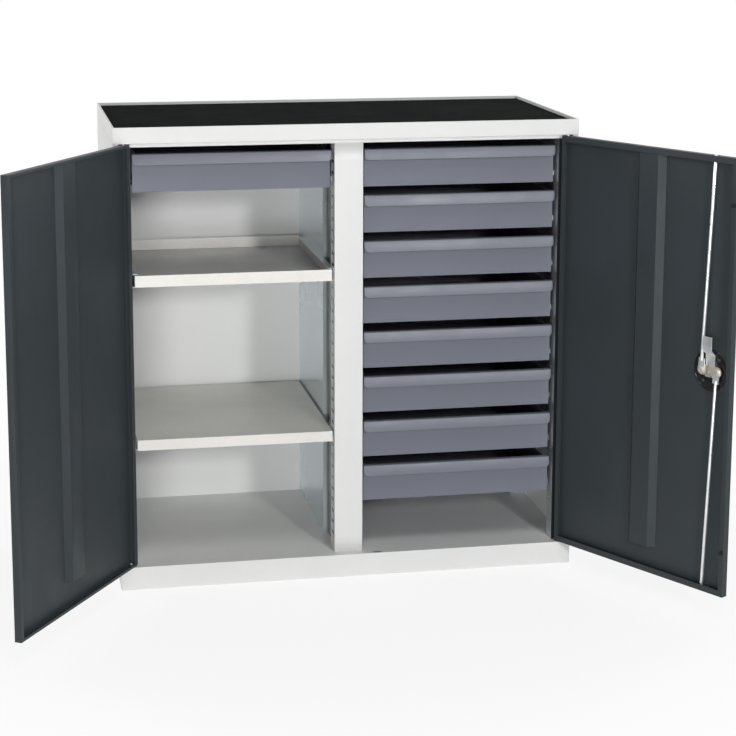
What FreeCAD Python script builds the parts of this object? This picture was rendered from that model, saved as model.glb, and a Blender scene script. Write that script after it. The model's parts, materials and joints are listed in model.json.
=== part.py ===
# Steel workshop cabinet: two hinged doors, nine drawers, a pull-out tray, a fixed shelf and a three-point lock.
# Frame: +Z up, the front faces -Y, the origin lies on the floor at the middle of the footprint.
# The doors stand open, the drawers and the tray are pushed in, and the lock is unlocked.
import FreeCAD, Part
import math
import os
import re
import Sketcher

# Driving dimensions in millimetres and degrees
sizes = {
    # carcass
    "width": 1000,
    "depth": 500,
    "height": 1000,
    "skin": 1,
    "seam": 0.3,
    # top tray and its mat
    "band_height": 34,
    "rim_width": 4,
    "rim_depth": 10,
    "mat_thickness": 4,
    "mat_gap": 0.5,
    # front frame, base and rear flanges
    "stile_width": 12,
    "stile_return": 16,
    "rear_flange": 15,
    "rail_height": 10,
    "rail_depth": 36,
    "plinth_height": 50,
    "plinth_flange": 15,
    # centre partition and the outer uprights
    "post_width": 62,
    "post_recess": 21,
    "post_return": 48,
    "groove_width": 88,
    "groove_depth": 9,
    "upright_width": 36,
    "upright_depth": 39,
    # perforation: columns are measured from the front of the post
    "hole_width": 4,
    "hole_height": 6,
    "hole_pitch": 25,
    "wide_pitch": 50,
    "hole_margin": 40,
    "front_column": 24,
    "middle_column": 131,
    "rear_column": 375,
    # drawers
    "drawer_count": 8,
    "drawer_gap": 16,
    "drawer_space": 18,
    "floor_space": 90,
    "drawer_setback": 46,
    "front_sheet": 1.2,
    "front_gap": 5.25,
    "grip_height": 24,
    "grip_reach": 14,
    "grip_flare": 5,
    "grip_corner": 9,
    "box_length": 410,
    "box_sheet": 1,
    "box_lift": 1,
    "box_drop": 2,
    # slides
    "slide_gap": 13,
    "slide_level": 14,
    "slide_reach": 10,
    "slide_lip": 6,
    "slide_start": 20,
    "runner_start": 12,
    "runner_length": 400,
    "runner_tip": 2,
    "run_gap": 0.3,
    # shelves
    "tray_space": 174,
    "tray_lip": 25,
    "tray_length": 440,
    "tray_overlap": 8,
    "shelf_space": 333,
    "shelf_lip": 23,
    "shelf_gap": 4.5,
    "shelf_length": 460,
    "clip_sheet": 1.5,
    "clip_reach": 12,
    "clip_rise": 9,
    "clip_drop": 6,
    "clip_width": 20,
    # doors
    "left_angle": 122,
    "right_angle": 119,
    "door_gap": 2,
    "middle_gap": 3,
    "door_depth": 15,
    "door_sheet": 1,
    "hinge_lip": 10,
    "left_free_lip": 11,
    "left_end_lip": 6,
    "right_free_lip": 11,
    "right_end_lip": 13,
    "pivot_inset": 8,
    "pivot_depth": 5,
    "pin_radius": 3,
    "pin_clearance": 0.05,
    "pin_spare": 1,
    "hinge_plate": 4,
    "hinge_plate_length": 20,
    "hinge_plate_width": 12,
    "stiffener_width": 78,
    "stiffener_crown": 50,
    "stiffener_rise": 12,
    "stiffener_end": 55,
    "stiffener_place": 241,
    "buffer_radius": 4,
    "buffer_inset": 95,
    # lock
    "lock_inset": 60,
    "lock_rise": 13,
    "housing_radius": 45,
    "housing_depth": 3,
    "rosette_radius": 28,
    "rosette_height": 4,
    "turn_gap": 0.3,
    "spindle_bore": 6,
    "square": 8,
    "plate": 2,
    "tongue_width": 24,
    "tongue_tail": 14,
    "tongue_reach": 72,
    "joggle_start": 34,
    "joggle_run": 10,
    "lip_clearance": 0.8,
    "cam_radius": 20,
    "cam_width": 22,
    "cam_pin_radius": 3,
    "cam_pin_head": 5,
    "cam_pin_cap": 1.5,
    "eye_radius": 7.5,
    "eye_length": 24,
    "eye_sheet": 2,
    "rod_radius": 3.5,
    "rod_start": 18,
    "rod_stick": 0.5,
    "slot_length": 19,
    "slot_width": 8,
    "hub_radius": 18,
    "hub_height": 8,
    "grip_bar_length": 92,
    "grip_bar_width": 24,
    "grip_bar_height": 18,
    "grip_bar_edge": 3,
    "key_radius": 8,
    "key_depth": 14,
    "key_slot_length": 9,
    "key_slot_width": 2,
    "key_slot_depth": 5,
}

# Places that several pieces share, each worked out from the driving dimensions
derived = {
    "front": "-depth / 2",
    "rear": "depth / 2",
    "side": "width / 2",
    "side_in": "side - skin",
    "back_face": "rear - 2 * skin",
    "band_low": "height - band_height",
    "rail_low": "band_low - rail_height",
    "stile_in": "side - stile_width",
    "notch": "front + stile_return + seam",
    "post_half": "post_width / 2",
    "post_front": "front + post_recess",
    "upright_in": "side_in - upright_width",
    "bay_half": "(upright_in - post_half) / 2",
    "bay_middle": "(upright_in + post_half) / 2",
    "hole_low": "plinth_height + hole_margin",
    "hole_span": "rail_low - plinth_height - 2 * hole_margin",
    "box_half": "bay_half - slide_gap",
    "front_half": "bay_half - front_gap",
    "drawer_top": "rail_low - drawer_gap",
    "drawer_pitch": "(drawer_top - plinth_height - floor_space) / drawer_count",
    "drawer_height": "drawer_pitch - drawer_space",
    "drawer_low": "drawer_top - drawer_height",
    "grip_low": "drawer_height - grip_height",
    "slide_top": "slide_level + skin + slide_lip",
    "runner_in": "box_half + runner_tip",
    "tray_low": "drawer_low - tray_space - tray_lip",
    "shelf_low": "tray_low - shelf_space - shelf_lip",
    "door_low": "plinth_height + door_gap",
    "door_high": "band_low - door_gap",
    "pivot_x": "stile_in - door_gap - pivot_inset",
    "pivot_y": "front + pivot_depth",
    "free_edge": "pivot_x - middle_gap / 2",
    "door_face": "-pivot_depth",
    "door_inside": "door_face + door_sheet",
    "door_back": "door_face + door_depth",
    "pin_reach": "door_gap + door_sheet + hinge_plate + pin_spare",
    "bore_radius": "pin_radius + pin_clearance",
    "lock_x": "lock_inset - free_edge",
    "lock_height": "(door_low + door_high) / 2 + lock_rise",
    "housing_back": "door_inside + housing_depth",
    "tongue_face": "housing_back + turn_gap",
    "cam_face": "tongue_face + plate",
    "cam_back": "cam_face + plate",
    "eye_face": "cam_back + turn_gap",
    "rod_y": "eye_face + eye_sheet / 2",
    "tip_face": "door_back + lip_clearance",
    "upper_run": "door_high - lock_height",
    "lower_run": "lock_height - door_low",
    "handle_back": "door_face - rosette_height - turn_gap",
    "bar_back": "handle_back - hub_height",
    "bar_front": "bar_back - grip_bar_height",
    "key_hole_end": "bar_front + key_depth",
}

doc = FreeCAD.newDocument("workshop_cabinet")
sheet = doc.addObject("Spreadsheet::Sheet", "sizes")
for row, (name, value) in enumerate(sizes.items(), 1):
    sheet.set(f"A{row}", name)
    sheet.set(f"B{row}", str(value))
    sheet.setAlias(f"B{row}", name)
doc.recompute()

pieces = []
cuts = []


def formula(text):
    """A formula of named sizes, written out with the sheet's own cells."""
    def swap(match):
        word = match.group(0)
        if word in derived:
            return "(" + formula(derived[word]) + ")"
        return "sizes." + word if word in sizes else word
    return re.sub(r"[a-z_]+", swap, str(text))


def new_piece(label, place=None):
    """An empty sub-part; place is a formula for its Placement."""
    body = doc.addObject("PartDesign::Body", label)
    body.Label = label
    if place:
        body.setExpression("Placement", formula(place))
    pieces.append(body)
    return body


def at(x, y, z):
    return f"placement(vector({x}; {y}; {z}); rotation(vector(0; 0; 1); 0))"


def origin_feature(body, role):
    return next(f for f in body.Origin.OriginFeatures if f.Role == role)


def new_sketch(body, plane, low, high):
    """A sketch on the plane where an extrusion from low to high starts; XZ sketches look along -Y."""
    sketch = body.newObject("Sketcher::SketchObject", "outline")
    sketch.AttachmentSupport = (origin_feature(body, plane + "_Plane"), [""])
    sketch.MapMode = "FlatFace"
    start = f"-({high})" if plane == "XZ" else low
    sketch.setExpression("AttachmentOffset.Base.z", formula(start))
    return sketch


def bind(sketch, kind, text, *where):
    index = sketch.addConstraint(Sketcher.Constraint(kind, *where, 1.0))
    sketch.setExpression(f"Constraints[{index}]", formula(text))


def draw_corners(sketch, corners):
    """A closed outline of straight lines whose corners lie at formulas."""
    count = len(corners)
    turn = 2 * math.pi / count
    ring = [FreeCAD.Vector(math.cos(turn * i), math.sin(turn * i), 0) for i in range(count)]
    sketch.addGeometry([Part.LineSegment(ring[i], ring[(i + 1) % count]) for i in range(count)], False)
    for i in range(count):
        sketch.addConstraint(Sketcher.Constraint("Coincident", i, 2, (i + 1) % count, 1))
    for i, (across, up) in enumerate(corners):
        bind(sketch, "DistanceX", across, -1, 1, i, 1)
        bind(sketch, "DistanceY", up, -1, 1, i, 1)


def draw_circle(sketch, centre, radius):
    sketch.addGeometry([Part.Circle(FreeCAD.Vector(1, 1, 0), FreeCAD.Vector(0, 0, 1), 1)], False)
    bind(sketch, "DistanceX", centre[0], -1, 1, 0, 3)
    bind(sketch, "DistanceY", centre[1], -1, 1, 0, 3)
    bind(sketch, "Radius", radius, 0)


def draw_round_corner(sketch, sign, x, z, radius):
    """What a round lower corner takes away on the left or right side: two lines and an arc."""
    sketch.setExpression("AttachmentOffset.Base.x", formula(f"{sign} * ({x} - {radius})"))
    sketch.setExpression("AttachmentOffset.Base.y", formula(f"{z} + {radius}"))
    corner = [FreeCAD.Vector(0, -1, 0), FreeCAD.Vector(sign, -1, 0), FreeCAD.Vector(sign, 0, 0)]
    circle = Part.Circle(FreeCAD.Vector(0, 0, 0), FreeCAD.Vector(0, 0, 1), 1)
    first = -math.pi / 2 if sign > 0 else math.pi
    sketch.addGeometry([Part.LineSegment(corner[0], corner[1]), Part.LineSegment(corner[1], corner[2]),
                        Part.ArcOfCircle(circle, first, first + math.pi / 2)], False)
    arc_ends = ((0, 1), (1, 2)) if sign > 0 else ((1, 2), (0, 1))
    for end, (line, point) in enumerate(arc_ends, 1):
        sketch.addConstraint(Sketcher.Constraint("Coincident", line, point, 2, end))
    for line, way in ((0, "Horizontal"), (1, "Vertical")):
        sketch.addConstraint(Sketcher.Constraint(way, line))
    for constraint in (("Coincident", 0, 2, 1, 1), ("Coincident", 2, 3, -1, 1), ("PointOnObject", 0, 1, -2)):
        sketch.addConstraint(Sketcher.Constraint(*constraint))
    sketch.addConstraint(Sketcher.Constraint("PointOnObject", 1, 2, -1))
    bind(sketch, "Radius", radius, 2)


def extrude(body, kind, sketch, low, high):
    feature = body.newObject("PartDesign::" + kind, kind.lower())
    feature.Profile = sketch
    feature.setExpression("Length", formula(f"({high}) - ({low})"))
    if kind == "Pocket":
        feature.Reversed = True
        cuts.append(feature)
    return feature


def add(body, plane, corners, low, high):
    sketch = new_sketch(body, plane, low, high)
    draw_corners(sketch, corners)
    return extrude(body, "Pad", sketch, low, high)


def cut(body, plane, corners, low, high):
    sketch = new_sketch(body, plane, low, high)
    draw_corners(sketch, corners)
    return extrude(body, "Pocket", sketch, low, high)


def add_disc(body, plane, centre, radius, low, high):
    sketch = new_sketch(body, plane, low, high)
    draw_circle(sketch, centre, radius)
    return extrude(body, "Pad", sketch, low, high)


def bore(body, plane, centre, radius, low, high):
    sketch = new_sketch(body, plane, low, high)
    draw_circle(sketch, centre, radius)
    return extrude(body, "Pocket", sketch, low, high)


def rectangle(left, low, right, high):
    return [(left, low), (right, low), (right, high), (left, high)]


def middle_rectangle(x, y, half_x, half_y):
    return rectangle(f"({x}) - ({half_x})", f"({y}) - ({half_y})", f"({x}) + ({half_x})", f"({y}) + ({half_y})")


def hexagon(x, y, radius):
    ring = ((1, 0), (0.5, 0.866), (-0.5, 0.866), (-1, 0), (-0.5, -0.866), (0.5, -0.866))
    return [(f"({x}) + {across} * {radius}", f"({y}) + {up} * {radius}") for across, up in ring]


def repeat_up(body, originals, pitch, count):
    """Repeats features along Z at a pitch."""
    row = body.newObject("PartDesign::LinearPattern", "row")
    row.Originals = originals
    row.Direction = (origin_feature(body, "Z_Axis"), [""])
    row.setExpression("Occurrences", formula(count))
    row.setExpression("Length", formula(f"({pitch}) * (({count}) - 1)"))
    body.Tip = row
    return row


def perforate(body, column, pitch, x_low, x_high):
    """A column of slots at a pitch, through the sheet between x_low and x_high."""
    slot = cut(body, "YZ",
               middle_rectangle(f"post_front + {column}", "hole_low", "hole_width / 2", "hole_height / 2"),
               x_low, x_high)
    repeat_up(body, [slot], pitch, f"floor(hole_span / {pitch}) + 1")


def mirrored(sign, corners):
    """Corners with the first coordinate on the left (-1) or right (+1) side."""
    return [(f"{sign} * ({across})", up) for across, up in corners]


# Carcass

def side_panel(label, sign):
    """Folded side wall with a rear flange and a front stile that stands on the plinth."""
    body = new_piece(label)
    add(body, "XY", mirrored(sign, [
        ("side", "front"), ("side", "rear"), ("side - rear_flange", "rear"),
        ("side - rear_flange", "rear - skin"), ("side_in", "rear - skin"), ("side_in", "front + skin"),
        ("stile_in + skin", "front + skin"), ("stile_in + skin", "front + stile_return"),
        ("stile_in", "front + stile_return"), ("stile_in", "front")]), "0", "band_low")
    cut(body, "YZ", rectangle("front", "0", "notch", "plinth_height"), *order_ends(sign, "stile_in", "side"))


def back_panel():
    body = new_piece("back_panel")
    add(body, "XZ", rectangle("-side_in", "0", "side_in", "band_low"), "back_face", "rear - skin")


def base_pan():
    """Floor and plinth in one folded pan, of full width in front, with a slot for the lower lock rod."""
    body = new_piece("base_pan")

    def outline(inset):
        return [(f"{inset} - side", f"front + {inset}"), (f"side - {inset}", f"front + {inset}"),
                (f"side - {inset}", f"notch - {inset}"), (f"side_in - {inset}", f"notch - {inset}"),
                (f"side_in - {inset}", f"back_face - {inset}"), (f"{inset} - side_in", f"back_face - {inset}"),
                (f"{inset} - side_in", f"notch - {inset}"), (f"{inset} - side", f"notch - {inset}")]

    add(body, "XY", outline("0"), "0", "plinth_height")
    cut(body, "XY", outline("skin"), "skin", "plinth_height - skin")
    cut(body, "XY", rectangle("plinth_flange - side", "front + plinth_flange", "side - plinth_flange",
                              "back_face - plinth_flange"), "0", "skin")
    rod_slot(body, "plinth_height - skin", "plinth_height")


def rod_slot(body, low, high):
    """Slot that a lock rod enters when the right door is shut."""
    cut(body, "XY", middle_rectangle("pivot_x + lock_x", "pivot_y + rod_y",
                                     "slot_length / 2", "slot_width / 2"), low, high)


def top_tray():
    """Tray top with a hemmed rim, open below."""
    body = new_piece("top_tray")
    add(body, "XY", middle_rectangle("0", "0", "side", "rear"), "band_low", "height")
    cut(body, "XY", middle_rectangle("0", "0", "side - rim_width", "rear - rim_width"),
        "height - rim_depth", "height")
    cut(body, "XY", middle_rectangle("0", "0", "side_in", "rear - skin"), "band_low",
        "height - rim_depth - skin")


def top_mat():
    body = new_piece("top_mat")
    add(body, "XY", middle_rectangle("0", "0", "side - rim_width - mat_gap", "rear - rim_width - mat_gap"),
        "height - rim_depth", "height - rim_depth + mat_thickness")


def front_top_rail():
    """Z-fold in line with the post; its upper flange carries hinge pins and is slotted for the upper rod."""
    body = new_piece("front_top_rail")
    add(body, "YZ", [
        ("front + skin", "band_low"), ("post_front", "band_low"), ("post_front", "rail_low"),
        ("post_front + rail_depth", "rail_low"), ("post_front + rail_depth", "rail_low + skin"),
        ("post_front + skin", "rail_low + skin"), ("post_front + skin", "band_low + skin"),
        ("front + skin", "band_low + skin")], "-side_in", "side_in")
    rod_slot(body, "band_low", "band_low + skin")


def centre_post():
    """Perforated channel at the front of the partition."""
    body = new_piece("centre_post")
    add(body, "XY", [
        ("-post_half", "post_front"), ("post_half", "post_front"), ("post_half", "post_front + post_return"),
        ("post_half - skin", "post_front + post_return"), ("post_half - skin", "post_front + skin"),
        ("skin - post_half", "post_front + skin"), ("skin - post_half", "post_front + post_return"),
        ("-post_half", "post_front + post_return")], "plinth_height", "rail_low")
    perforate(body, "front_column", "hole_pitch", "-post_half", "post_half")


def partition_skin(label, sign, pitch):
    """Partition wall of one bay: a slotted groove behind the post, then flat to a rear column of slots."""
    body = new_piece(label)
    start = "post_front + post_return"
    groove_end = f"{start} + groove_width"
    ramp_end = f"{groove_end} + groove_depth"
    face, hollow = "post_half", "post_half - groove_depth"
    add(body, "XY", mirrored(sign, [
        (hollow, start), (hollow, groove_end), (face, ramp_end), (face, "back_face"),
        (f"{face} - skin", "back_face"), (f"{face} - skin", f"{ramp_end} + skin"),
        (f"{hollow} - skin", f"{groove_end} + skin"), (f"{hollow} - skin", start)]),
        "plinth_height", "rail_low")
    for column, step in (("middle_column", pitch), ("rear_column", "wide_pitch")):
        perforate(body, column, step, *order_ends(sign, "post_half - groove_depth - 2 * skin", "post_half"))


def order_ends(sign, near, far):
    """Low and high end of a stretch that runs from near to far on the left or right side."""
    return (near, far) if sign > 0 else (f"-({far})", f"-({near})")


def uprights(label, sign):
    """Two perforated channels on the inside of a side panel, one near the door and one near the back."""
    body = new_piece(label)
    for column in ("front_column", "rear_column"):
        start = f"post_front + {column} - front_column"
        end = f"{start} + upright_depth"
        add(body, "XY", mirrored(sign, [
            ("upright_in", start), ("side_in", start), ("side_in", f"{start} + skin"),
            ("upright_in + skin", f"{start} + skin"), ("upright_in + skin", f"{end} - skin"),
            ("side_in", f"{end} - skin"), ("side_in", end), ("upright_in", end)]), "plinth_height", "rail_low")
    for column in ("front_column", "rear_column"):
        perforate(body, column, "wide_pitch", *order_ends(sign, "upright_in", "upright_in + skin"))


def fixed_shelf():
    """Shelf with its edges folded down."""
    body = new_piece("fixed_shelf", at("-bay_middle", "post_front", "shelf_low"))
    half = "bay_half - shelf_gap"
    add(body, "XY", rectangle(f"-({half})", "0", half, "shelf_length"), "0", "shelf_lip")
    cut(body, "XY", rectangle(f"skin - ({half})", "skin", f"{half} - skin", "shelf_length - skin"),
        "0", "shelf_lip - skin")


def shelf_clips():
    """Four angle clips in the slot columns, under the side folds of the fixed shelf."""
    body = new_piece("shelf_clips", at("-bay_middle", "post_front", "shelf_low"))
    for sign in (-1, 1):
        for column in ("front_column", "rear_column"):
            add(body, "XZ", mirrored(sign, [
                ("bay_half", "-clip_drop"), ("bay_half", "clip_rise"), ("bay_half - clip_sheet", "clip_rise"),
                ("bay_half - clip_sheet", "0"), ("bay_half - clip_reach", "0"),
                ("bay_half - clip_reach", "-clip_sheet"), ("bay_half - clip_sheet", "-clip_sheet"),
                ("bay_half - clip_sheet", "-clip_drop")]),
                f"{column} - clip_width / 2", f"{column} + clip_width / 2")


def pullout_tray():
    """Tray shelf with a rim all round."""
    body = new_piece("pullout_tray", at("-bay_middle", "post_front", "tray_low"))
    add(body, "XY", rectangle("-front_half", "0", "front_half", "tray_length"), "0", "tray_lip")
    cut(body, "XY", rectangle("skin - front_half", "skin", "front_half - skin", "tray_length - skin"),
        "skin", "tray_lip")


def tray_runners():
    """Channels that hold the rims of the tray at both sides."""
    body = new_piece("tray_runners", at("-bay_middle", "post_front", "tray_low"))
    ceiling = "tray_lip + run_gap"
    inner = "front_half - tray_overlap"
    for sign in (-1, 1):
        add(body, "XZ", mirrored(sign, [
            ("bay_half", "-run_gap - skin"), ("bay_half", f"{ceiling} + skin"), (inner, f"{ceiling} + skin"),
            (inner, ceiling), ("bay_half - skin", ceiling), ("bay_half - skin", "-run_gap"),
            (inner, "-run_gap"), (inner, "-run_gap - skin")]),
            "runner_start", "runner_start + runner_length")


# Drawers: each is modelled at its own bottom edge, with y = 0 on the face of its front

def drawer_place(sign, step):
    return at(f"{sign} * bay_middle", "front + drawer_setback", f"drawer_low - {step} * drawer_pitch")


def drawer_front(label, place):
    """Sheet front folded over at the top into a flared grip lip."""
    body = new_piece(label, place)
    lip_edge = "grip_reach + grip_flare"
    add(body, "YZ", [
        ("0", "0"), ("0", "drawer_height - front_sheet"),
        ("front_sheet - grip_reach", "drawer_height - front_sheet"),
        (f"front_sheet - ({lip_edge})", "grip_low"),
        (f"-({lip_edge})", "grip_low"), ("-grip_reach", "drawer_height"), ("front_sheet", "drawer_height"),
        ("front_sheet", "0")], "-front_half", "front_half")
    for sign in (-1, 1):
        sketch = new_sketch(body, "XZ", f"-({lip_edge})", "0")
        draw_round_corner(sketch, sign, "front_half", "grip_low", "grip_corner")
        extrude(body, "Pocket", sketch, f"-({lip_edge})", "0")


def drawer_box(label, place):
    """Open box with a folded slide rail along each side."""
    body = new_piece(label, place)
    end = "front_sheet + box_length"
    add(body, "XY", rectangle("-box_half", "front_sheet", "box_half", end),
        "box_lift", "drawer_height - box_drop")
    cut(body, "XY", rectangle("box_sheet - box_half", "front_sheet + box_sheet", "box_half - box_sheet",
                              f"{end} - box_sheet"), "box_lift + box_sheet", "drawer_height - box_drop")
    for sign in (-1, 1):
        add(body, "XZ", mirrored(sign, [
            ("box_half", "slide_level"), ("box_half + slide_reach", "slide_level"),
            ("box_half + slide_reach", "slide_top"), ("box_half + slide_reach - skin", "slide_top"),
            ("box_half + slide_reach - skin", "slide_level + skin"), ("box_half", "slide_level + skin")]),
            "slide_start", end)


def drawer_runners(label, sign, count, step):
    """Fixed channels for a stack of drawers; step is the lowest drawer's number from the top."""
    body = new_piece(label, drawer_place(sign, step))
    floor_low, floor_top = "slide_level - run_gap - skin", "slide_level - run_gap"
    roof_low, roof_top = "slide_top + run_gap", "slide_top + run_gap + skin"
    pair = [add(body, "XZ", mirrored(hand, [
        ("bay_half", floor_low), ("bay_half", roof_top), ("runner_in", roof_top), ("runner_in", roof_low),
        ("bay_half - skin", roof_low), ("bay_half - skin", floor_top), ("runner_in", floor_top),
        ("runner_in", floor_low)]), "runner_start", "runner_start + runner_length") for hand in (-1, 1)]
    if count != "1":
        repeat_up(body, pair, "drawer_pitch", count)


# Doors: each is modelled shut, about its hinge axis, and then turned open

def door_place(sign):
    angle = "right_angle" if sign > 0 else "-left_angle"
    return f"placement(vector({sign} * pivot_x; pivot_y; 0); rotation(vector(0; 0; 1); {angle}))"


def door_panel(label, sign, free_lip, end_lip):
    """Folded pan with return lips, bored top and bottom for the hinge pins."""
    body = new_piece(label, door_place(sign))

    def outline(free, end, hinge):
        return mirrored(sign, rectangle(f"{free} - free_edge", f"door_low + {end}", f"pivot_inset - {hinge}",
                                        f"door_high - {end}"))

    add(body, "XZ", outline("0", "0", "0"), "door_face", "door_back")
    cut(body, "XZ", outline("door_sheet", "door_sheet", "door_sheet"), "door_inside", "door_back - door_sheet")
    cut(body, "XZ", outline(free_lip, end_lip, "hinge_lip"), "door_back - door_sheet", "door_back")
    for low, high in door_flanges():
        bore(body, "XY", ("0", "0"), "bore_radius", low, high)
    return body


def door_flanges():
    """Low and high face of the bottom and the top flange of a door."""
    return [("door_low", "door_low + door_sheet"), ("door_high - door_sheet", "door_high")]


def lock_cuts(body):
    """Spindle hole in the skin of the right door, and slots for the lock rods in its flanges."""
    bore(body, "XZ", ("lock_x", "lock_height"), "spindle_bore", "door_face", "door_inside")
    for low, high in door_flanges():
        cut(body, "XY", middle_rectangle("lock_x", "rod_y", "slot_length / 2", "slot_width / 2"), low, high)


def door_stiffener(label, sign):
    """Hat section from the top flange nearly to the bottom."""
    body = new_piece(label, door_place(sign))
    foot, crown = "stiffener_width / 2", "stiffener_crown / 2"
    top = "door_inside + stiffener_rise"
    add(body, "XY", [(f"{-sign} * stiffener_place + ({across})", up) for across, up in [
        (f"-{foot}", "door_inside"), (f"-{crown}", top), (crown, top), (foot, "door_inside"),
        (f"{foot} - 1.4 * door_sheet", "door_inside"), (f"{crown} - 0.6 * door_sheet", f"{top} - door_sheet"),
        (f"0.6 * door_sheet - {crown}", f"{top} - door_sheet"), (f"1.4 * door_sheet - {foot}", "door_inside")]],
        "door_low + stiffener_end", "door_high - door_sheet")


def hinge_plates(label, sign):
    """Reinforcing plates behind the flanges, which the hinge pins turn in."""
    body = new_piece(label, door_place(sign))
    corners = mirrored(sign, rectangle("pivot_inset - door_sheet - hinge_plate_length", "door_inside",
                                       "pivot_inset - door_sheet", "door_inside + hinge_plate_width"))
    for low in ("door_low + door_sheet", "door_high - door_sheet - hinge_plate"):
        add(body, "XY", corners, low, f"{low} + hinge_plate")
    for low in ("door_low + door_sheet", "door_high - door_sheet - hinge_plate"):
        bore(body, "XY", ("0", "0"), "bore_radius", low, f"{low} + hinge_plate")


def hinge_pins(label, sign):
    """Pins that stand on the base and hang from the rail."""
    body = new_piece(label)
    for low in ("plinth_height", "band_low - pin_reach"):
        add_disc(body, "XY", (f"{sign} * pivot_x", "pivot_y"), "pin_radius", low, f"{low} + pin_reach")


def door_buffers():
    """Rubber buffers on the free edge, which meet the centre post."""
    body = new_piece("door_buffers", door_place(1))
    for height in ("door_low + buffer_inset", "door_high - buffer_inset"):
        add_disc(body, "XZ", ("right_free_lip / 2 - free_edge", height), "buffer_radius", "door_back",
                 "door_face + post_recess - run_gap")


# Lock: modelled on the shut right door and turned with it

def lock_housing():
    """Round backing of the turn handle, inside the door."""
    body = new_piece("lock_housing", door_place(1))
    centre = ("lock_x", "lock_height")
    add_disc(body, "XZ", centre, "housing_radius", "door_inside", "housing_back")
    bore(body, "XZ", centre, "spindle_bore", "door_inside", "housing_back")


def lock_rosette():
    """Round plate under the turn handle, outside the door."""
    body = new_piece("lock_rosette", door_place(1))
    centre = ("lock_x", "lock_height")
    add_disc(body, "XZ", centre, "rosette_radius", "door_face - rosette_height", "door_face")
    bore(body, "XZ", centre, "spindle_bore", "door_face - rosette_height", "door_face")


def turn_handle():
    """Hub with a grip bar, bored for the key cylinder."""
    body = new_piece("turn_handle", door_place(1))
    centre = ("lock_x", "lock_height")
    add_disc(body, "XZ", centre, "hub_radius", "bar_back", "handle_back")
    add(body, "XZ", middle_rectangle(*centre, "grip_bar_width / 2", "grip_bar_length / 2"),
        "bar_front", "bar_back")
    bore(body, "XZ", centre, "key_radius + pin_clearance", "bar_front", "key_hole_end")
    return body


def key_cylinder():
    body = new_piece("key_cylinder", door_place(1))
    centre = ("lock_x", "lock_height")
    add_disc(body, "XZ", centre, "key_radius", "bar_front", "key_hole_end")
    cut(body, "XZ", middle_rectangle(*centre, "key_slot_width / 2", "key_slot_length / 2"),
        "bar_front", "bar_front + key_slot_depth")


def lock_spindle():
    """Square bar from the handle through the tongue and the cam, which turns in the bores of the door."""
    body = new_piece("lock_spindle", door_place(1))
    add(body, "XZ", middle_rectangle("lock_x", "lock_height", "square / 2", "square / 2"),
        "handle_back", "cam_back")


def latch_tongue():
    """Latch that points up when unlocked, joggled to pass behind the door lips."""
    body = new_piece("latch_tongue", door_place(1))
    low, bend = "lock_height - tongue_tail", "lock_height + joggle_start"
    tip, rise = "lock_height + tongue_reach", "lock_height + joggle_start + joggle_run"
    add(body, "YZ", [
        ("tongue_face", low), ("tongue_face", bend), ("tip_face", rise), ("tip_face", tip),
        ("tip_face + plate", tip), ("tip_face + plate", f"{rise} - plate / 2"),
        ("tongue_face + plate", f"{bend} - plate / 2"), ("tongue_face + plate", low)],
        "lock_x - tongue_width / 2", "lock_x + tongue_width / 2")
    cut(body, "XZ", middle_rectangle("lock_x", "lock_height", "square / 2", "square / 2"),
        "tongue_face", "tongue_face + plate")


def cam_plate():
    """Link with round ends that carries both rod pins."""
    body = new_piece("cam_plate", door_place(1))
    add(body, "XZ", middle_rectangle("lock_x", "lock_height", "cam_radius", "cam_width / 2"), "cam_face", "cam_back")
    for sign in (-1, 1):
        add_disc(body, "XZ", (f"lock_x + {sign} * cam_radius", "lock_height"), "cam_width / 2",
                 "cam_face", "cam_back")
    cut(body, "XZ", middle_rectangle("lock_x", "lock_height", "square / 2", "square / 2"), "cam_face", "cam_back")


def cam_pins():
    """Pins with hexagon heads that the rods turn on."""
    body = new_piece("cam_pins", door_place(1))
    head = "eye_face + eye_sheet + turn_gap"
    for sign in (-1, 1):
        centre = (f"lock_x + {sign} * cam_radius", "lock_height")
        add_disc(body, "XZ", centre, "cam_pin_radius", "cam_back", head)
        add(body, "XZ", hexagon(*centre, "cam_pin_head"), head, f"{head} + cam_pin_cap")


def lock_rod(label, sign, run):
    """Round rod with a flat eye on its cam pin; it leans so that its far end is in line with the spindle."""
    lean = f"atan(cam_radius / ({run}))"
    turn = lean if sign > 0 else f"180 deg + {lean}"
    body = new_piece(label, f"{door_place(1)} * placement(vector(lock_x + {sign} * cam_radius; rod_y; lock_height); "
                            f"rotation(vector(0; -1; 0); {turn}))")
    half = "eye_sheet / 2"
    add(body, "XZ", rectangle("-eye_radius", "0", "eye_radius", "eye_length"), f"-{half}", half)
    add_disc(body, "XZ", ("0", "0"), "eye_radius", f"-{half}", half)
    bore(body, "XZ", ("0", "0"), "cam_pin_radius + pin_clearance", f"-{half}", half)
    add_disc(body, "XY", ("0", "0"), "rod_radius", "rod_start", f"({run} + rod_stick) / cos({lean})")


def chamfer_grip(body):
    """A chamfer on the straight edges of the outermost face, where the hand takes hold."""
    base = body.Tip
    outermost = base.Shape.BoundBox.YMin + 0.01
    names = [f"Edge{i}" for i, edge in enumerate(base.Shape.Edges, 1)
             if edge.BoundBox.YMax < outermost and isinstance(edge.Curve, Part.Line)]
    feature = body.newObject("PartDesign::Chamfer", "chamfer")
    feature.Base = (base, names)
    feature.setExpression("Size", formula("grip_bar_edge"))


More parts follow.
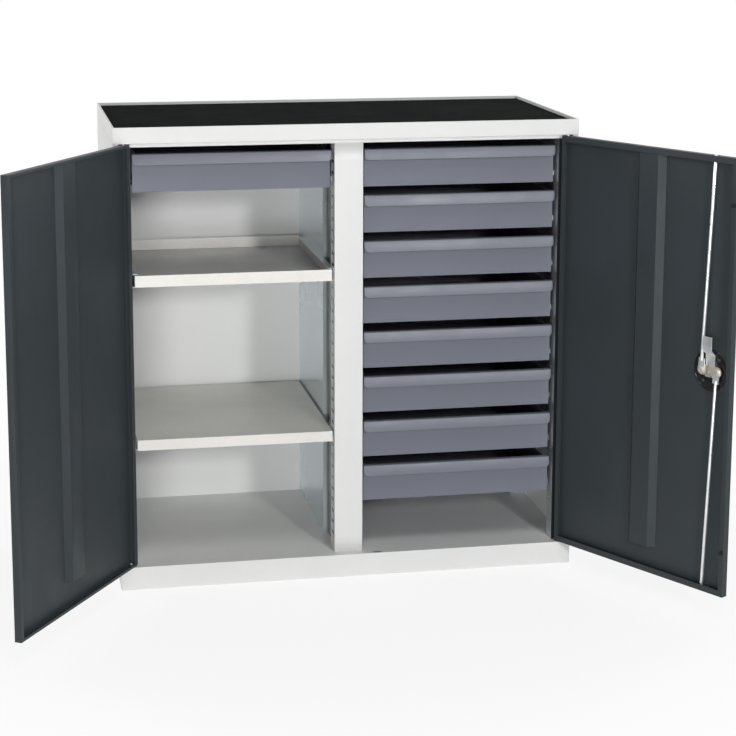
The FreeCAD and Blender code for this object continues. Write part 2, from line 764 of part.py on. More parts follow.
side_panel("left_side_panel", -1)
side_panel("right_side_panel", 1)
back_panel()
base_pan()
top_tray()
top_mat()
front_top_rail()
centre_post()
partition_skin("left_partition_skin", -1, "hole_pitch")
partition_skin("right_partition_skin", 1, "wide_pitch")
uprights("left_uprights", -1)
uprights("right_uprights", 1)
fixed_shelf()
shelf_clips()
pullout_tray()
tray_runners()
drawer_runners("left_drawer_runners", -1, "1", 0)
drawer_runners("right_drawer_runners", 1, "drawer_count", "(drawer_count - 1)")

drawer_front("left_drawer_front", drawer_place(-1, 0))
drawer_box("left_drawer_box", drawer_place(-1, 0))
for number in range(sizes["drawer_count"]):
    drawer_front(f"right_drawer_{number + 1}_front", drawer_place(1, number))
    drawer_box(f"right_drawer_{number + 1}_box", drawer_place(1, number))

door_panel("left_door_panel", -1, "left_free_lip", "left_end_lip")
lock_cuts(door_panel("right_door_panel", 1, "right_free_lip", "right_end_lip"))
for side_name, side_sign in (("left", -1), ("right", 1)):
    door_stiffener(side_name + "_door_stiffener", side_sign)
    hinge_plates(side_name + "_hinge_plates", side_sign)
    hinge_pins(side_name + "_hinge_pins", side_sign)
door_buffers()

lock_housing()
lock_rosette()
handle = turn_handle()
key_cylinder()
lock_spindle()
latch_tongue()
cam_plate()
cam_pins()
lock_rod("upper_lock_rod", 1, "upper_run")
lock_rod("lower_lock_rod", -1, "lower_run")
doc.recompute()

chamfer_grip(handle)
doc.recompute()

faults = [o.Label for o in doc.Objects if {"Invalid", "Error"} & set(o.State)]
faults += [p.Label for p in pieces if p.Shape.isNull() or not p.Shape.isValid() or not p.Shape.Solids]
faults += [c.Label for c in cuts if c.Shape.isNull() or c.Shape.Volume >= c.BaseFeature.Shape.Volume - 1e-6]
if faults:
    raise RuntimeError("failed: " + ", ".join(faults))

os.makedirs("parts", exist_ok=True)
for piece in pieces:
    piece.Shape.exportStep(f"parts/{piece.Label}.step")
print(len(pieces), "pieces,", sum(len(p.Shape.Solids) for p in pieces), "solids")
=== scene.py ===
import json
import math

import bmesh
import bpy
import numpy as np
from mathutils import Matrix, Vector

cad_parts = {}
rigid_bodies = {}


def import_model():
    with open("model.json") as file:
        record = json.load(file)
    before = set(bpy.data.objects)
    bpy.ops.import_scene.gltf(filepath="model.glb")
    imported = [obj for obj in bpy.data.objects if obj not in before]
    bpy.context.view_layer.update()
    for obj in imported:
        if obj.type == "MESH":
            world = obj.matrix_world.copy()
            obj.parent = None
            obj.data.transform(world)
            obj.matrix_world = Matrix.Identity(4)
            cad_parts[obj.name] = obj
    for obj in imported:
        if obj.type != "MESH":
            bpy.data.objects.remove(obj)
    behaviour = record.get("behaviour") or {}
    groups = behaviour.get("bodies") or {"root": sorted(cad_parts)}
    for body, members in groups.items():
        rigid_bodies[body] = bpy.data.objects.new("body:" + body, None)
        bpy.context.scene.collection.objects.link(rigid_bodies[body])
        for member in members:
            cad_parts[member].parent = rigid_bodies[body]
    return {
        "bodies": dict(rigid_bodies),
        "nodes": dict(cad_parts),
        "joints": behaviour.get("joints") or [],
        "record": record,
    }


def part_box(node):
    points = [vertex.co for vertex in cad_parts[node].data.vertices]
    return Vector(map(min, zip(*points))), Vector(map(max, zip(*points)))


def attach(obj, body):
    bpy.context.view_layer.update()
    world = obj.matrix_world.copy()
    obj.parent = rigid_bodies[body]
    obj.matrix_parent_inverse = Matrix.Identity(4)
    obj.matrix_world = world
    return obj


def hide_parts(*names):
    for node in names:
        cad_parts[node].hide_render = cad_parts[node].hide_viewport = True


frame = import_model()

nodes = frame["nodes"]
joints = {joint["name"]: joint for joint in frame["joints"]}
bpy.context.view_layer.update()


# small helpers for node materials, all on Object coordinates in metres

def newMaterial(name):
    material = bpy.data.materials.new(name)
    material.use_nodes = True
    tree = material.node_tree
    place = tree.nodes.new("ShaderNodeTexCoord").outputs["Object"]
    return material, tree, tree.nodes["Principled BSDF"], place


def stretched(tree, place, factors):
    mapping = tree.nodes.new("ShaderNodeMapping")
    mapping.inputs["Scale"].default_value = factors
    tree.links.new(place, mapping.inputs["Vector"])
    return mapping.outputs["Vector"]


def noise(tree, place, scale, detail=2.0, roughness=0.5):
    texture = tree.nodes.new("ShaderNodeTexNoise")
    texture.inputs["Scale"].default_value = scale
    texture.inputs["Detail"].default_value = detail
    texture.inputs["Roughness"].default_value = roughness
    tree.links.new(place, texture.inputs["Vector"])
    return texture.outputs["Fac"]


def remap(tree, value, ends, results, smooth=False):
    reach = tree.nodes.new("ShaderNodeMapRange")
    reach.interpolation_type = "SMOOTHSTEP" if smooth else "LINEAR"
    reach.inputs["From Min"].default_value, reach.inputs["From Max"].default_value = ends
    reach.inputs["To Min"].default_value, reach.inputs["To Max"].default_value = results
    tree.links.new(value, reach.inputs["Value"])
    return reach.outputs["Result"]


def combine(tree, operation, first, second):
    both = tree.nodes.new("ShaderNodeMath")
    both.operation = operation
    tree.links.new(first, both.inputs[0])
    tree.links.new(second, both.inputs[1])
    return both.outputs["Value"]


def blendColours(tree, value, stops):
    ramp = tree.nodes.new("ShaderNodeValToRGB")
    for element, (position, colour) in zip(ramp.color_ramp.elements, (stops[0], stops[-1])):
        element.position = position
        element.color = (*colour, 1.0)
    for position, colour in stops[1:-1]:
        ramp.color_ramp.elements.new(position).color = (*colour, 1.0)
    tree.links.new(value, ramp.inputs["Fac"])
    return ramp.outputs["Color"]


def raised(tree, height, depth, below=None):
    # bump of a height from 0 to 1 that stands depth metres proud
    bump = tree.nodes.new("ShaderNodeBump")
    bump.inputs["Distance"].default_value = depth
    tree.links.new(height, bump.inputs["Height"])
    if below:
        tree.links.new(below, bump.inputs["Normal"])
    return bump.outputs["Normal"]


def axesOf(tree, place):
    axes = tree.nodes.new("ShaderNodeSeparateXYZ")
    tree.links.new(place, axes.inputs["Vector"])
    return axes.outputs


def shade(colour, factor):
    return tuple(channel * factor for channel in colour)


# finishes; scales count the features of a texture per metre, and most of a noise lies in its span

noiseSpan = (0.3, 0.7)

coatScales = {"cloud": 4.0, "smear": 14.0, "peel": 320.0, "grain": 1800.0}
coatings = {
    "carcass": {"colour": (0.79, 0.795, 0.785), "cloud": 0.015, "rough": (0.34, 0.44), "gloss": 0.40,
                "peel": 0.00010, "grain": 0.00003},
    "door": {"colour": (0.039, 0.048, 0.053), "cloud": 0.08, "rough": (0.42, 0.54), "gloss": 0.22,
             "peel": 0.00012, "grain": 0.00006},
    "drawer": {"colour": (0.165, 0.177, 0.214), "cloud": 0.04, "rough": (0.32, 0.42), "gloss": 0.32,
               "peel": 0.00006, "grain": 0.00003},
}
# the hollow post has the carcass paint on its outer faces, and from this depth of the sheet inwards it is
# painted near-black: painted shade inside the hollow post
coatings["post"] = dict(coatings["carcass"], hollow="centre_post", hollowDepth=0.00035, hollowBlend=0.00005,
                        hollowShadeColour=(0.010, 0.011, 0.012))


def powderCoat(name, coat):
    # baked powder coat: slow clouds in the colour, handling smears in the gloss, orange peel and a fine grain;
    # the inside of a hollow piece is painted near-black, as painted shade
    material, tree, shader, place = newMaterial(name)
    cloud = remap(tree, noise(tree, place, coatScales["cloud"], detail=3.0), noiseSpan, (0.5, 1.0))
    stops = [(0.5, shade(coat["colour"], 1 - coat["cloud"])), (1.0, shade(coat["colour"], 1 + coat["cloud"]))]
    if "hollow" in coat:
        low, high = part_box(coat["hollow"])
        half, front, blend = high[0] - coat["hollowDepth"], low[1] + coat["hollowDepth"], coat["hollowBlend"]
        # painted shade mask: 0 on the inner faces of the hollow piece, 1 on its outer faces; the clouds are
        # pushed to the near-black shade colour where it is 0
        axes = axesOf(tree, place)
        square = combine(tree, "MULTIPLY", axes["X"], axes["X"])
        beside = remap(tree, square, ((half - blend) ** 2, half ** 2), (0.0, 1.0))
        before = remap(tree, axes["Y"], (front, front + blend), (1.0, 0.0))
        cloud = combine(tree, "MULTIPLY", cloud, combine(tree, "MAXIMUM", beside, before))
        stops.insert(0, (0.0, coat["hollowShadeColour"]))
    tree.links.new(blendColours(tree, cloud, stops), shader.inputs["Base Color"])
    smear = remap(tree, noise(tree, place, coatScales["smear"], detail=4.0), noiseSpan, coat["rough"])
    tree.links.new(smear, shader.inputs["Roughness"])
    peel = raised(tree, noise(tree, place, coatScales["peel"], detail=1.0), coat["peel"])
    grain = raised(tree, noise(tree, place, coatScales["grain"], detail=2.0), coat["grain"], below=peel)
    tree.links.new(grain, shader.inputs["Normal"])
    shader.inputs["Specular IOR Level"].default_value = coat["gloss"]
    return material


zincSheets = {
    # where it has them, a sheet is painted dark, as painted shade, from its front edge up to the first of two
    # depths,
    # and zinc from the second on: on the front faces of the uprights, and in the groove behind the post
    "upright": {"colour": (0.66, 0.70, 0.73), "crystal": 0.005, "cloud": 0.03, "rough": (0.30, 0.34),
                "metal": 0.8, "paintedShadeUntil": (-0.2285, -0.2270), "paintedShadeColour": (0.050, 0.055, 0.058)},
    "partition": {"colour": (0.78, 0.85, 0.89), "crystal": 0.003, "cloud": 0.03, "rough": (0.25, 0.28),
                  "metal": 0.8, "paintedShadeUntil": (-0.094, -0.086), "paintedShadeColour": (0.30, 0.32, 0.30)},
    "shelf": {"colour": (0.68, 0.67, 0.635), "crystal": 0.02, "cloud": 0.04, "rough": (0.42, 0.52),
              "metal": 0.35},
}
zincScales = {"crystal": 240.0, "cloud": 7.0, "smear": 6.0, "roll": 900.0}
rollMark = {"stretch": (1.0, 1.0, 0.04), "depth": 0.000003}


def galvanisedSheet(name, look):
    # zinc-coated sheet: small crystals that differ a little in grey, under slow clouds,
    # a smeared gloss and a roll mark
    material, tree, shader, place = newMaterial(name)
    crystal = tree.nodes.new("ShaderNodeTexVoronoi")
    crystal.inputs["Scale"].default_value = zincScales["crystal"]
    tree.links.new(place, crystal.inputs["Vector"])
    facet = tree.nodes.new("ShaderNodeSeparateColor")
    tree.links.new(crystal.outputs["Color"], facet.inputs["Color"])
    grain = remap(tree, facet.outputs["Red"], (0.0, 1.0), (-look["crystal"], look["crystal"]))
    slow = noise(tree, place, zincScales["cloud"], detail=3.0)
    cloud = remap(tree, slow, noiseSpan, (-look["cloud"], look["cloud"]))
    grey = remap(tree, combine(tree, "ADD", grain, cloud), (-0.1, 0.1), (0.5, 1.0))
    stops = [(0.5, shade(look["colour"], 0.9)), (1.0, shade(look["colour"], 1.1))]
    # painted shade: from the front edge back to the given depths the colour is blended into the dark shade
    # colour
    if "paintedShadeUntil" in look:
        outsidePaintedShade = remap(tree, axesOf(tree, place)["Y"], look["paintedShadeUntil"], (0.0, 1.0), smooth=True)
        grey = combine(tree, "MULTIPLY", grey, outsidePaintedShade)
        stops.insert(0, (0.0, look["paintedShadeColour"]))
    tree.links.new(blendColours(tree, grey, stops), shader.inputs["Base Color"])
    smear = remap(tree, noise(tree, place, zincScales["smear"]), noiseSpan, look["rough"])
    tree.links.new(smear, shader.inputs["Roughness"])
    shader.inputs["Metallic"].default_value = look["metal"]
    roll = noise(tree, stretched(tree, place, rollMark["stretch"]), zincScales["roll"], detail=2.0)
    tree.links.new(raised(tree, roll, rollMark["depth"]), shader.inputs["Normal"])
    return material


platings = {
    "bright": {"colour": (0.86, 0.87, 0.88), "rough": (0.26, 0.40)},
    "gold": {"colour": (0.86, 0.79, 0.64), "rough": (0.24, 0.38)},
    "black": {"colour": (0.10, 0.10, 0.105), "rough": (0.30, 0.42)},
}
plated = {"metal": 0.75, "dull": 0.88, "cloudScale": 60.0, "drawnScale": 1600.0,
          "drawnStretch": (1.0, 1.0, 0.03), "drawnDepth": 0.00003}


def zincPlate(name, look):
    # plated steel: cloudy passivation, and drawn lines along the length
    material, tree, shader, place = newMaterial(name)
    cloud = noise(tree, place, plated["cloudScale"], detail=4.0)
    tints = [shade(look["colour"], plated["dull"]), look["colour"]]
    tint = blendColours(tree, cloud, list(zip(noiseSpan, tints)))
    tree.links.new(tint, shader.inputs["Base Color"])
    shader.inputs["Metallic"].default_value = plated["metal"]
    tree.links.new(remap(tree, cloud, noiseSpan, look["rough"]), shader.inputs["Roughness"])
    drawn = noise(tree, stretched(tree, place, plated["drawnStretch"]), plated["drawnScale"])
    tree.links.new(raised(tree, drawn, plated["drawnDepth"]), shader.inputs["Normal"])
    return material


mouldings = {
    "mat": {"colour": (0.011, 0.0125, 0.0125), "rough": (0.80, 0.92), "gloss": 0.02,
            "grainScale": 900.0, "grain": 0.00006},
    "buffer": {"colour": (0.009, 0.009, 0.010), "rough": (0.62, 0.74), "gloss": 0.25,
               "grainScale": 1200.0, "grain": 0.00004},
    "plastic": {"colour": (0.012, 0.012, 0.013), "rough": (0.18, 0.26), "gloss": 0.7,
                "grainScale": 1500.0, "grain": 0.00002},
}
moulded = {"bloomScale": 9.0, "bloomSpan": (0.35, 0.75), "bloom": 1.4, "sheenScale": 30.0}


def darkMoulding(name, look):
    # rubber or plastic with a spark-eroded grain and a faint dusty bloom
    material, tree, shader, place = newMaterial(name)
    bloom = noise(tree, place, moulded["bloomScale"], detail=5.0)
    tints = [look["colour"], shade(look["colour"], moulded["bloom"])]
    tint = blendColours(tree, bloom, list(zip(moulded["bloomSpan"], tints)))
    tree.links.new(tint, shader.inputs["Base Color"])
    sheen = remap(tree, noise(tree, place, moulded["sheenScale"], detail=3.0), noiseSpan, look["rough"])
    tree.links.new(sheen, shader.inputs["Roughness"])
    grain = raised(tree, noise(tree, place, look["grainScale"]), look["grain"])
    tree.links.new(grain, shader.inputs["Normal"])
    shader.inputs["Specular IOR Level"].default_value = look["gloss"]
    return material


carcassPaint = powderCoat("carcassPaint", coatings["carcass"])
postPaintAndShade = powderCoat("postPaintAndShade", coatings["post"])
doorPaint = powderCoat("doorPaint", coatings["door"])
drawerPaint = powderCoat("drawerPaint", coatings["drawer"])
uprightZinc = galvanisedSheet("uprightZinc", zincSheets["upright"])
partitionZinc = galvanisedSheet("partitionZinc", zincSheets["partition"])
shelfZinc = galvanisedSheet("shelfZinc", zincSheets["shelf"])
brightZinc = zincPlate("brightZinc", platings["bright"])
goldZinc = zincPlate("goldZinc", platings["gold"])
blackZinc = zincPlate("blackZinc", platings["black"])
matRubber = darkMoulding("matRubber", mouldings["mat"])
bufferRubber = darkMoulding("bufferRubber", mouldings["buffer"])
blackPlastic = darkMoulding("blackPlastic", mouldings["plastic"])
print("finishes made")


# which finish every node of the frame gets, and how round its folded edges are

slotFinish = {
    "carcass_paint": carcassPaint,
    "door_paint": doorPaint,
    "drawer_paint": drawerPaint,
    "galvanised_sheet": uprightZinc,
    "zinc_plated_steel": brightZinc,
    "ribbed_rubber": matRubber,
    "buffer_rubber": bufferRubber,
    "black_plastic": blackPlastic,
}
ownFinish = {
    "cam_plate": goldZinc,
    "cam_pins": goldZinc,
    "pullout_tray": shelfZinc,
    "fixed_shelf": shelfZinc,
    "left_partition_skin": partitionZinc,
    "right_partition_skin": partitionZinc,
}
foldRadius = {
    "carcass_paint": 0.0008,
    "door_paint": 0.0006,
    "drawer_paint": 0.0005,
    "galvanised_sheet": 0.0003,
    "zinc_plated_steel": 0.0004,
    "ribbed_rubber": 0.0004,
    "buffer_rubber": 0.0008,
    "black_plastic": 0.001,
}
folds = {"weld": 0.00001, "segments": 2, "sharpest": 35.0}


def dressNode(name, slot):
    piece = nodes[name]
    piece.data.materials.clear()
    piece.data.materials.append(ownFinish.get(name, slotFinish[slot]))
    weld = piece.modifiers.new("weld", "WELD")
    weld.merge_threshold = folds["weld"]
    fold = piece.modifiers.new("fold", "BEVEL")
    fold.width = foldRadius[slot]
    fold.segments = folds["segments"]
    fold.limit_method = "ANGLE"
    fold.angle_limit = math.radians(folds["sharpest"])
    fold.harden_normals = True


for entry in frame["record"]["subparts"]:
    dressNode(entry["node"], entry["material_slot"])
print("nodes dressed")


# pieces made here

def gridFaces(rows, columns):
    # quads of a grid whose last column joins its first; rows stay open
    index = np.arange(rows * columns).reshape(rows, columns)
    after = np.roll(index, -1, axis=1)
    return np.stack([index[:-1], after[:-1], after[1:], index[1:]], axis=-1).reshape(-1, 4).tolist()


def addPiece(name, points, faces, material, body, smoothAngle=None):
    mesh = bpy.data.meshes.new(name)
    mesh.from_pydata(points.reshape(-1, 3).tolist(), [], faces)
    shell = bmesh.new()
    shell.from_mesh(mesh)
    bmesh.ops.remove_doubles(shell, verts=shell.verts, dist=1e-6)
    bmesh.ops.recalc_face_normals(shell, faces=shell.faces)
    shell.to_mesh(mesh)
    shell.free()
    if smoothAngle:
        mesh.polygons.foreach_set("use_smooth", np.ones(len(mesh.polygons), dtype=bool))
        mesh.set_sharp_from_angle(angle=math.radians(smoothAngle))
    mesh.materials.append(material)
    piece = bpy.data.objects.new(name, mesh)
    bpy.context.scene.collection.objects.link(piece)
    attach(piece, body)
    return piece


matRibs = {"pitch": 0.003, "height": 0.0011, "profile": [(0.0, 0.0), (0.25, 0.0), (0.36, 1.0), (0.89, 1.0)]}


def ribbedMat(look):
    # height over the depth: a groove, a short slope, a flat rib and a slope back, once every pitch;
    # the section is a rectangle as wide as the mat, carried from front to back under that height
    low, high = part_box("top_mat")
    count = int((high[1] - low[1]) / look["pitch"])
    pitch = (high[1] - low[1]) / count
    share, rise = np.array(look["profile"]).T
    y = (low[1] + pitch * (np.arange(count)[:, None] + share[None, :])).ravel()
    top = np.tile(high[2] - look["height"] * (1 - rise), count)
    y, top = np.append(y, high[1]), np.append(top, high[2] - look["height"])
    left, right, bottom = np.full_like(y, low[0]), np.full_like(y, high[0]), np.full_like(y, low[2])
    corners = [(left, bottom), (right, bottom), (right, top), (left, top)]
    points = np.stack([np.stack([x, y, z], axis=-1) for x, z in corners], axis=1)
    last = 4 * len(y)
    faces = gridFaces(len(y), 4) + [[0, 1, 2, 3], [last - 4, last - 3, last - 2, last - 1]]
    mat = addPiece("ribbed_mat", points, faces, matRubber, "carcass")
    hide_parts("top_mat")


lockCover = {
    "depth": 0.003, "ribs": 18, "ribTop": 0.0019,
    "ribShare": (0.0, 0.14, 0.28, 0.43, 0.46, 0.54, 0.57, 0.72, 0.86), "ribReach": (0.45, 0.55),
    # radius and height over the door skin in millimetres, and 1 where the ribs stand
    "profile": [(45.0, 0.0, 0), (45.0, 1.3, 0), (44.2, 2.0, 0), (42.2, 2.0, 0), (41.4, 0.8, 0),
                (39.6, 0.8, 0), (38.8, 2.3, 0), (36.6, 2.3, 0), (35.8, 0.8, 1), (26.6, 0.8, 1),
                (25.8, 2.5, 0), (23.8, 2.5, 0), (23.0, 1.2, 0), (21.6, 1.2, 0), (20.8, 2.6, 0),
                (20.2, 3.0, 0), (6.6, 3.0, 0), (6.0, 2.6, 0), (6.0, 0.0, 0)],
    "screwRadius": 0.0034, "screwRing": 0.0312, "screwTurns": (50.0, 130.0, 230.0, 310.0),
    "screwTop": 0.0026, "screwDome": 0.0008, "screwFoot": 0.0009,
    # shares of the screw's radius: where the grid's lines run from the middle out, and the driver's cross
    "screwSteps": (0.1, 0.16, 0.3, 0.5, 0.58, 0.75, 0.9, 0.98, 1.0), "screwRim": 0.99,
    "crossHalf": 0.13, "crossReach": 0.55, "crossDepth": 0.0010,
}


def lockAxes(node):
    # middle of a round lock piece, and its three directions: into the room, sideways and up
    low, high = (np.array(corner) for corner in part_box(node))
    inward = -np.array(joints["lock_turn"]["axis"])
    up = np.array([0.0, 0.0, 1.0])
    return (low + high) / 2, inward, np.cross(inward, up), up


def mouldedCover(look):
    # a surface of radius and angle: the height follows the ring profile over the radius,
    # and in the wide groove it is lifted to the rib height wherever the angle falls on a rib
    middle, inward, side, up = lockAxes("lock_housing")
    radius, height, ribbed = np.array(look["profile"]).T * np.array([[0.001], [0.001], [1.0]])
    share = np.array(look["ribShare"])
    angle = (2 * np.pi / look["ribs"] * (np.arange(look["ribs"])[:, None] + share[None, :])).ravel()
    start, end = look["ribReach"]
    onRib = np.tile((share > start) & (share < end), look["ribs"])
    lifted = (ribbed[:, None] > 0) & onRib[None, :]
    level = np.where(lifted, look["ribTop"], height[:, None]) - look["depth"] / 2
    spoke = np.cos(angle)[:, None] * side + np.sin(angle)[:, None] * up
    points = middle + level[..., None] * inward + radius[:, None, None] * spoke[None]
    faces = gridFaces(len(radius), len(angle))
    rim, bore = np.arange(len(angle)), np.arange(len(angle)) + (len(radius) - 1) * len(angle)
    faces += np.stack([rim, np.roll(rim, -1), np.roll(bore, -1), bore], axis=-1).tolist()
    cover = addPiece("moulded_lock_cover", points, faces, blackPlastic, "right_door", 30)
    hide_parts("lock_housing")


def coverScrews(look):
    # pan-head screws: a square grid laid on a disc, domed by the square of the radius,
    # sunk along both middle lines for the driver's cross, and dropped to the cover at the rim
    middle, inward, side, up = lockAxes("lock_housing")
    half = np.array(look["screwSteps"])
    steps = np.concatenate([-half[::-1], [0.0], half])
    s, t = np.meshgrid(steps, steps, indexing="ij")
    a, b = s * np.sqrt(1 - t * t / 2), t * np.sqrt(1 - s * s / 2)
    dome = look["screwTop"] - look["screwDome"] * (a * a + b * b)
    least, most = np.minimum(np.abs(s), np.abs(t)), np.maximum(np.abs(s), np.abs(t))
    cross = (least < look["crossHalf"]) & (most < look["crossReach"])
    top = np.where(cross, dome - look["crossDepth"], dome)
    top = np.where(most > look["screwRim"], look["screwFoot"], top) - look["depth"] / 2
    turns = np.radians(look["screwTurns"])
    centres = middle + look["screwRing"] * (np.cos(turns)[:, None] * side + np.sin(turns)[:, None] * up)
    heads = (centres[:, None, None] + top[..., None] * inward
             + look["screwRadius"] * (a[..., None] * side + b[..., None] * up))
    count = len(steps)
    index = np.arange(count * count).reshape(count, count)
    quads = np.stack([index[:-1, :-1], index[1:, :-1], index[1:, 1:], index[:-1, 1:]], axis=-1).reshape(-1, 4)
    ring = np.concatenate([index[0, :], index[1:, -1], index[-1, -2::-1], index[-2:0:-1, 0]])
    faces = []
    for number in range(len(turns)):
        faces += (quads + number * count * count).tolist() + [(ring + number * count * count).tolist()]
    addPiece("lock_cover_screws", heads, faces, blackZinc, "right_door", 40)


drawerFront = {"sheet": 0.0012, "gripHeight": 0.024, "gripFlare": 0.005, "gripCorner": 0.009, "cornerSteps": 8,
               "fold": 0.002, "foldSteps": 6, "hem": 0.0009, "hemSteps": 9, "hemDepth": 0.005}


def foldedFront(node, body, look):
    # the middle line of the sheet runs up the face, over the top fold, down the flared grip and round a hem;
    # it is set off half a sheet to both sides and carried across the width, and near both ends
    # the lower edge of the grip rises along a quarter circle
    low, high = (np.array(corner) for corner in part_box(node))
    half, fold, hem = look["sheet"] / 2, look["fold"], look["hem"]
    slope = math.atan2(look["gripFlare"], look["gripHeight"])
    sine, cosine = math.sin(slope), math.cos(slope)
    down, inward = np.array([-sine, -cosine]), np.array([cosine, -sine])
    top = high[2] - half
    crease = np.array([low[1] + look["gripFlare"] + half, high[2]])
    rear = np.array([high[1] - half - fold, top - fold])
    front = np.array([crease[0] + (fold - (fold + half) * sine) / cosine, top - fold])
    lipEnd = high[2] - look["gripHeight"] + hem + half + hem * sine
    curl = crease + down * (high[2] - lipEnd) / cosine + inward * hem
    rearTurn = np.linspace(0.0, math.pi / 2, look["foldSteps"])
    frontTurn = np.linspace(math.pi / 2, math.pi - slope, look["foldSteps"])
    hemTurn = np.linspace(math.pi - slope, 2 * math.pi - slope, look["hemSteps"])
    turn = np.concatenate([[0.0], rearTurn, frontTurn, hemTurn, hemTurn[-1:]])
    spoke = np.stack([np.cos(turn), np.sin(turn)], axis=-1)
    foot = np.array([rear[0], low[2]])
    tip = curl - down * look["hemDepth"]
    centre = np.concatenate([[foot], np.repeat([rear, front], look["foldSteps"], axis=0),
                             np.repeat([curl], look["hemSteps"], axis=0), [tip]])
    lifted = np.concatenate([np.zeros(1 + 2 * look["foldSteps"]), np.ones(look["hemSteps"] + 1)])
    radius = np.where(lifted > 0, hem, fold)[:, None]
    outside, inside = centre + (radius + half) * spoke, centre + (radius - half) * spoke
    section, lifted = np.concatenate([outside, inside[::-1]]), np.concatenate([lifted, lifted[::-1]])

    sweep = np.linspace(0.0, math.pi / 2, look["cornerSteps"])
    near, rise = look["gripCorner"] * (1 - np.cos(sweep)), look["gripCorner"] * (1 - np.sin(sweep))
    across = np.concatenate([low[0] + near, (high[0] - near)[::-1]])
    rise = np.concatenate([rise, rise[::-1]])
    moved = section[None] - (rise[:, None] * lifted[None])[..., None] * down / cosine
    points = np.concatenate([np.broadcast_to(across[:, None, None], (*moved.shape[:2], 1)), moved], axis=-1)

    rows, columns = moved.shape[:2]
    edge = np.arange(columns // 2 - 1)
    cap = np.stack([edge, edge + 1, columns - 2 - edge, columns - 1 - edge], axis=-1)
    faces = gridFaces(rows, columns) + cap.tolist() + (cap + (rows - 1) * columns).tolist()
    sheet = addPiece(node + "_folded", points, faces, drawerPaint, body, 35)
    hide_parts(node)


postSlots = {"sheet": 0.0007, "bend": 0.0010, "bendSteps": 5, "wide": 0.025, "high": 0.0068, "depth": 0.025,
             "pitch": 0.025, "margin": 0.04}


def slottedPost(look):
    # the outer line of a channel section, with both front edges rounded, carried up the post;
    # the cells of the grid that fall on a slot stay open, and the sheet's thickness goes inwards
    low, high = (np.array(corner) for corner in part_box("centre_post"))
    turn = np.linspace(math.pi, 1.5 * math.pi, look["bendSteps"])
    rounded = look["bend"] * np.stack([np.cos(turn) + 1, np.sin(turn) + 1], axis=-1)
    near, far = look["depth"] - look["wide"] / 2, look["depth"] + look["wide"] / 2
    flank = np.array([[0.0, high[1] - low[1]], [0.0, far], [0.0, near]])
    left = np.concatenate([flank, rounded])
    right = np.stack([high[0] - low[0] - left[::-1, 0], left[::-1, 1]], axis=-1)
    line = np.concatenate([left, right]) + low[:2]
    count = int((high[2] - low[2] - 2 * look["margin"]) / look["pitch"]) + 1
    middle = low[2] + look["margin"] + look["pitch"] * np.arange(count)
    ends = np.stack([middle - look["high"] / 2, middle + look["high"] / 2], axis=-1).ravel()
    level = np.concatenate([[low[2]], ends, [high[2]]])
    points = np.concatenate([np.broadcast_to(line[None], (len(level), len(line), 2)),
                             np.broadcast_to(level[:, None, None], (len(level), len(line), 1))], axis=-1)
    index = np.arange(len(level) * len(line)).reshape(len(level), len(line))
    quads = np.stack([index[:-1, :-1], index[:-1, 1:], index[1:, 1:], index[1:, :-1]], axis=-1)
    solid = np.ones(quads.shape[:2], dtype=bool)
    solid[1::2, [1, -2]] = False
    post = addPiece("slotted_post", points, quads[solid].tolist(), postPaintAndShade, "carcass", 35)
    wall = post.modifiers.new("wall", "SOLIDIFY")
    wall.thickness = look["sheet"]
    wall.offset = -1.0
    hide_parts("centre_post")


ribbedMat(matRibs)
slottedPost(postSlots)
mouldedCover(lockCover)
coverScrews(lockCover)
print("mat, post and lock cover made")
for drawer in [name for name in frame["bodies"] if "drawer" in name]:
    foldedFront(drawer + "_front", drawer, drawerFront)
print("drawer fronts folded")


# floor, light and camera

stage = {"half": 14.0, "colour": (0.95, 0.95, 0.945), "dull": 0.99, "cloudScale": 1.5,
         "rough": 0.9, "gloss": 0.1, "near": 0.60, "far": 1.7, "nearWhite": 0.85, "plinthEdge": (0.98, 0.99)}


def seenDirectly(tree):
    # 1 for a ray from the camera, or one that a shiny or clear surface sends on
    path = tree.nodes.new("ShaderNodeLightPath")
    shiny = combine(tree, "MAXIMUM", path.outputs["Is Glossy Ray"], path.outputs["Is Transmission Ray"])
    return combine(tree, "MAXIMUM", path.outputs["Is Camera Ray"], shiny)


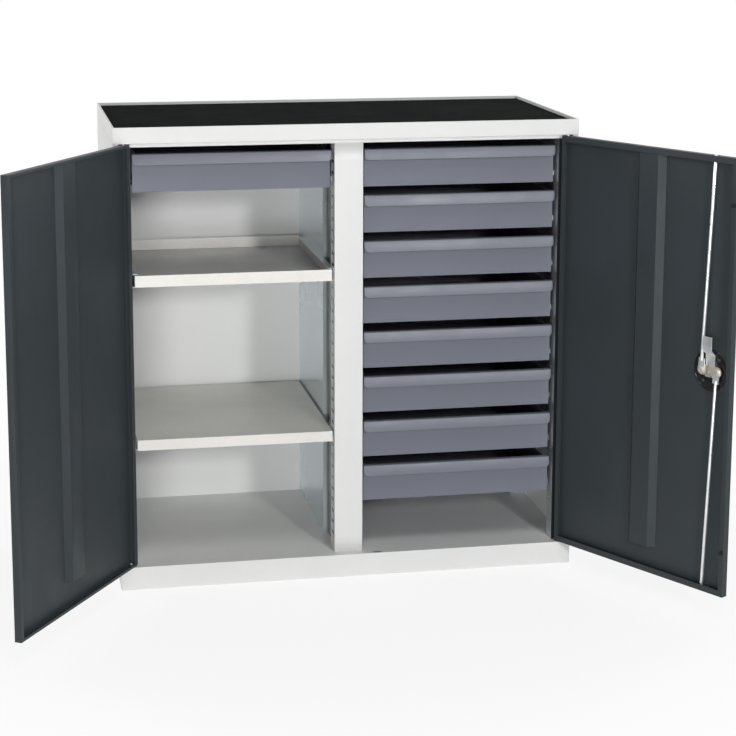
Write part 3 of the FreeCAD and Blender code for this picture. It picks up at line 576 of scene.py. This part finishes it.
def paleFloor(look):
    # a flat square; it takes the shadow near the object, fades to plain white further away,
    # and stays dark inside the plinth
    across, along = np.meshgrid([-look["half"], look["half"]], [-look["half"], look["half"]])
    points = np.stack([across, along, np.zeros_like(across)], axis=-1)
    mesh = bpy.data.meshes.new("floor")
    mesh.from_pydata(points.reshape(-1, 3).tolist(), [], [[0, 1, 3, 2]])
    material, tree, shader, place = newMaterial("paleFloor")
    tints = [shade(look["colour"], look["dull"]), look["colour"]]
    tint = blendColours(tree, noise(tree, place, look["cloudScale"]), list(zip(noiseSpan, tints)))
    tree.links.new(tint, shader.inputs["Base Color"])
    shader.inputs["Roughness"].default_value = look["rough"]
    shader.inputs["Specular IOR Level"].default_value = look["gloss"]
    reach = tree.nodes.new("ShaderNodeVectorMath")
    reach.operation = "LENGTH"
    tree.links.new(stretched(tree, place, (1.0, 1.0, 0.0)), reach.inputs[0])
    span = (look["near"], look["far"])
    fade = remap(tree, reach.outputs["Value"], span, (look["nearWhite"], 1.0), smooth=True)
    axes = axesOf(tree, place)
    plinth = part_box("base_pan")[1]
    past = []
    for axis, half in zip("XY", plinth):
        square = combine(tree, "MULTIPLY", axes[axis], axes[axis])
        edge = [share * half ** 2 for share in look["plinthEdge"]]
        past.append(remap(tree, square, edge, (0.0, 1.0)))
    fade = combine(tree, "MULTIPLY", fade, combine(tree, "MAXIMUM", *past))
    white = tree.nodes.new("ShaderNodeEmission")
    mix = tree.nodes.new("ShaderNodeMixShader")
    tree.links.new(combine(tree, "MULTIPLY", fade, seenDirectly(tree)), mix.inputs["Fac"])
    tree.links.new(shader.outputs["BSDF"], mix.inputs[1])
    tree.links.new(white.outputs["Emission"], mix.inputs[2])
    tree.links.new(mix.outputs["Shader"], tree.nodes["Material Output"].inputs["Surface"])
    mesh.materials.append(material)
    floor = bpy.data.objects.new("floor", mesh)
    bpy.context.scene.collection.objects.link(floor)


lamps = {
    "key": {"place": (1.2, -5.0, 1.9), "aim": (0.0, 0.0, 0.5), "size": 0.5, "power": 75.0},
    "fill": {"place": (-1.4, -5.2, 0.65), "aim": (0.0, 0.0, 0.5), "size": 1.2, "power": 85.0},
    "top": {"place": (0.0, -2.2, 4.2), "aim": (0.0, 0.0, 0.6), "size": 2.0, "power": 35.0},
    "rearLeft": {"place": (-4.0, 3.0, 2.2), "aim": (0.0, 0.0, 0.5), "size": 2.2, "power": 110.0},
    "rearRight": {"place": (4.0, 3.0, 2.2), "aim": (0.0, 0.0, 0.5), "size": 2.2, "power": 110.0},
}


def softLamp(name, look):
    light = bpy.data.lights.new(name, "AREA")
    light.shape = "DISK"
    light.size = look["size"]
    light.energy = look["power"]
    lamp = bpy.data.objects.new(name, light)
    lamp.location = look["place"]
    lamp.rotation_euler = (Vector(look["aim"]) - Vector(look["place"])).to_track_quat("-Z", "Y").to_euler()
    bpy.context.scene.collection.objects.link(lamp)


room = {"ambient": 0.10, "seen": 1.0}


def whiteRoom(look):
    # white where it is seen directly, softer where it lights the object
    world = bpy.data.worlds.new("room")
    bpy.context.scene.world = world
    world.use_nodes = True
    tree = world.node_tree
    background = tree.nodes["Background"]
    background.inputs["Color"].default_value = (1.0, 1.0, 1.0, 1.0)
    strength = remap(tree, seenDirectly(tree), (0.0, 1.0), (look["ambient"], look["seen"]))
    tree.links.new(strength, background.inputs["Strength"])


shot = {"place": (-0.7783, -4.3749, 1.4881), "yaw": 11.191, "pitch": 10.764, "roll": 0.173,
        "focalPixels": 2000.8, "imagePixels": 736.0, "shiftPixels": -100.0, "sensor": 36.0}


def photoCamera(look):
    yaw, pitch, roll = (math.radians(look[key]) for key in ("yaw", "pitch", "roll"))
    ahead = Vector((math.sin(yaw) * math.cos(pitch), math.cos(yaw) * math.cos(pitch), -math.sin(pitch)))
    right = Vector((math.cos(yaw), -math.sin(yaw), 0.0))
    up = right.cross(ahead)
    right, up = math.cos(roll) * right + math.sin(roll) * up, math.cos(roll) * up - math.sin(roll) * right
    data = bpy.data.cameras.new("photoCamera")
    data.sensor_width = look["sensor"]
    data.lens = look["focalPixels"] * data.sensor_width / look["imagePixels"]
    data.shift_y = look["shiftPixels"] / look["imagePixels"]
    camera = bpy.data.objects.new("photoCamera", data)
    turn = Matrix((right, up, -ahead)).transposed().to_4x4()
    camera.matrix_world = Matrix.Translation(look["place"]) @ turn
    bpy.context.scene.collection.objects.link(camera)
    bpy.context.scene.camera = camera


paleFloor(stage)
for lampName, lampLook in lamps.items():
    softLamp(lampName, lampLook)
whiteRoom(room)
photoCamera(shot)
bpy.context.scene.view_settings.view_transform = "Standard"
print("stage, light and camera set")
